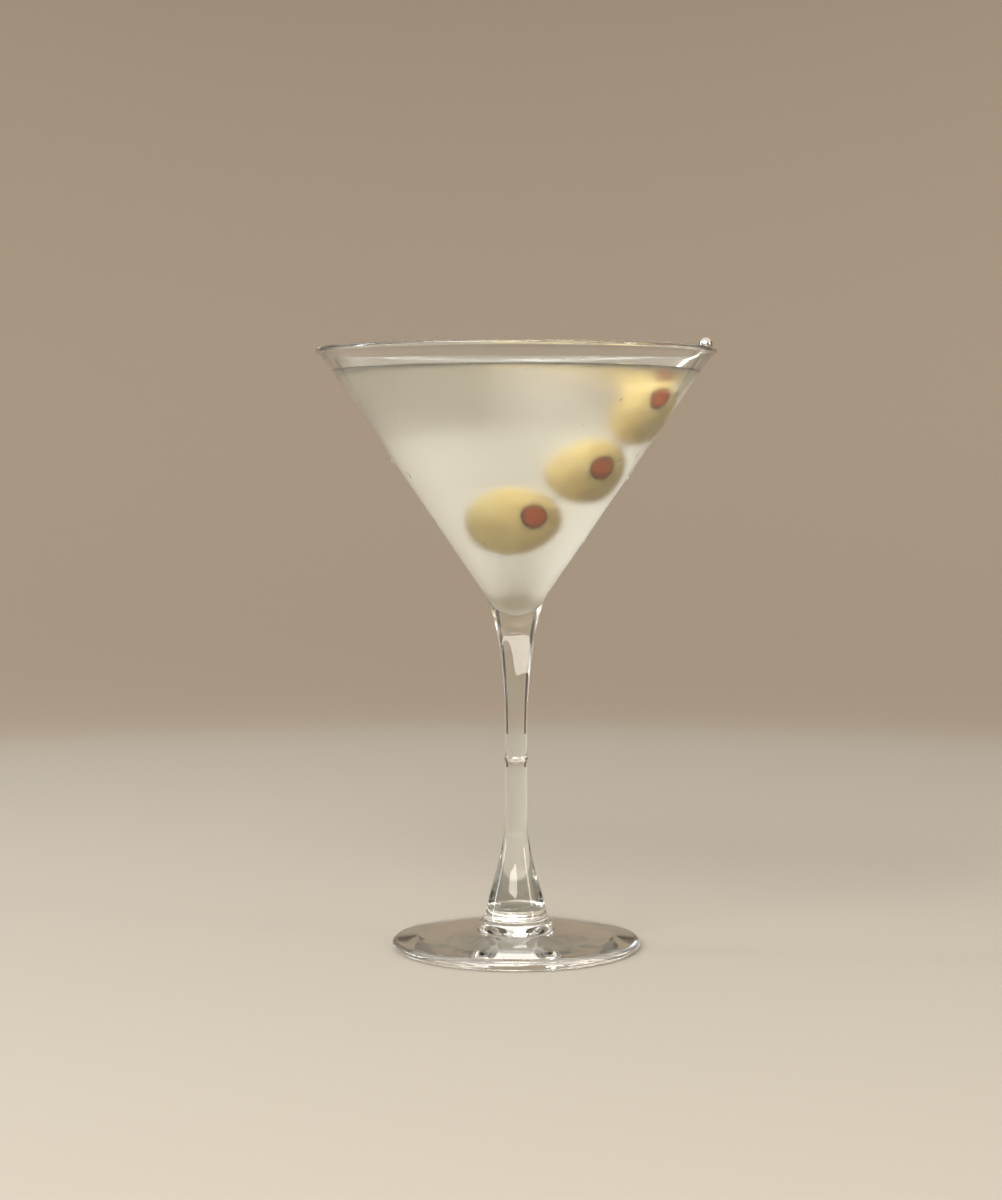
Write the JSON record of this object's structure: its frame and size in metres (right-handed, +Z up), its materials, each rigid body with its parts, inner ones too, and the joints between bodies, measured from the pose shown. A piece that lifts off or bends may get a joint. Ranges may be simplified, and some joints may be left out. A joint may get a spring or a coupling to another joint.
{
  "type": "martini cocktail",
  "caption": "Long-stemmed cone glass filled with a cloudy cocktail, with stuffed green olives strung on a steel pick that leans in the bowl.",
  "frame": {"origin": "middle of the foot's underside, on the surface that the glass stands on", "axes": "+Z up along the stem; -Y towards the side where the olives' stuffed ends show; +X towards the side of the rim where the pick's ball leans"},
  "size_m": [0.118, 0.118, 0.181],
  "materials": {
    "glass": "clear, polished",
    "drink": "cloudy liquid",
    "olive": "waxy green skin",
    "pimento": "wet red pepper",
    "pick": "polished steel"
  },
  "bodies": {
    "root": {"glass": "glass", "drink": "drink", "olive_1": "olive", "olive_2": "olive", "olive_3": "olive", "pimento_1": "pimento", "pimento_2": "pimento", "pimento_3": "pimento", "pick": "pick"}
  },
  "joints": []
}
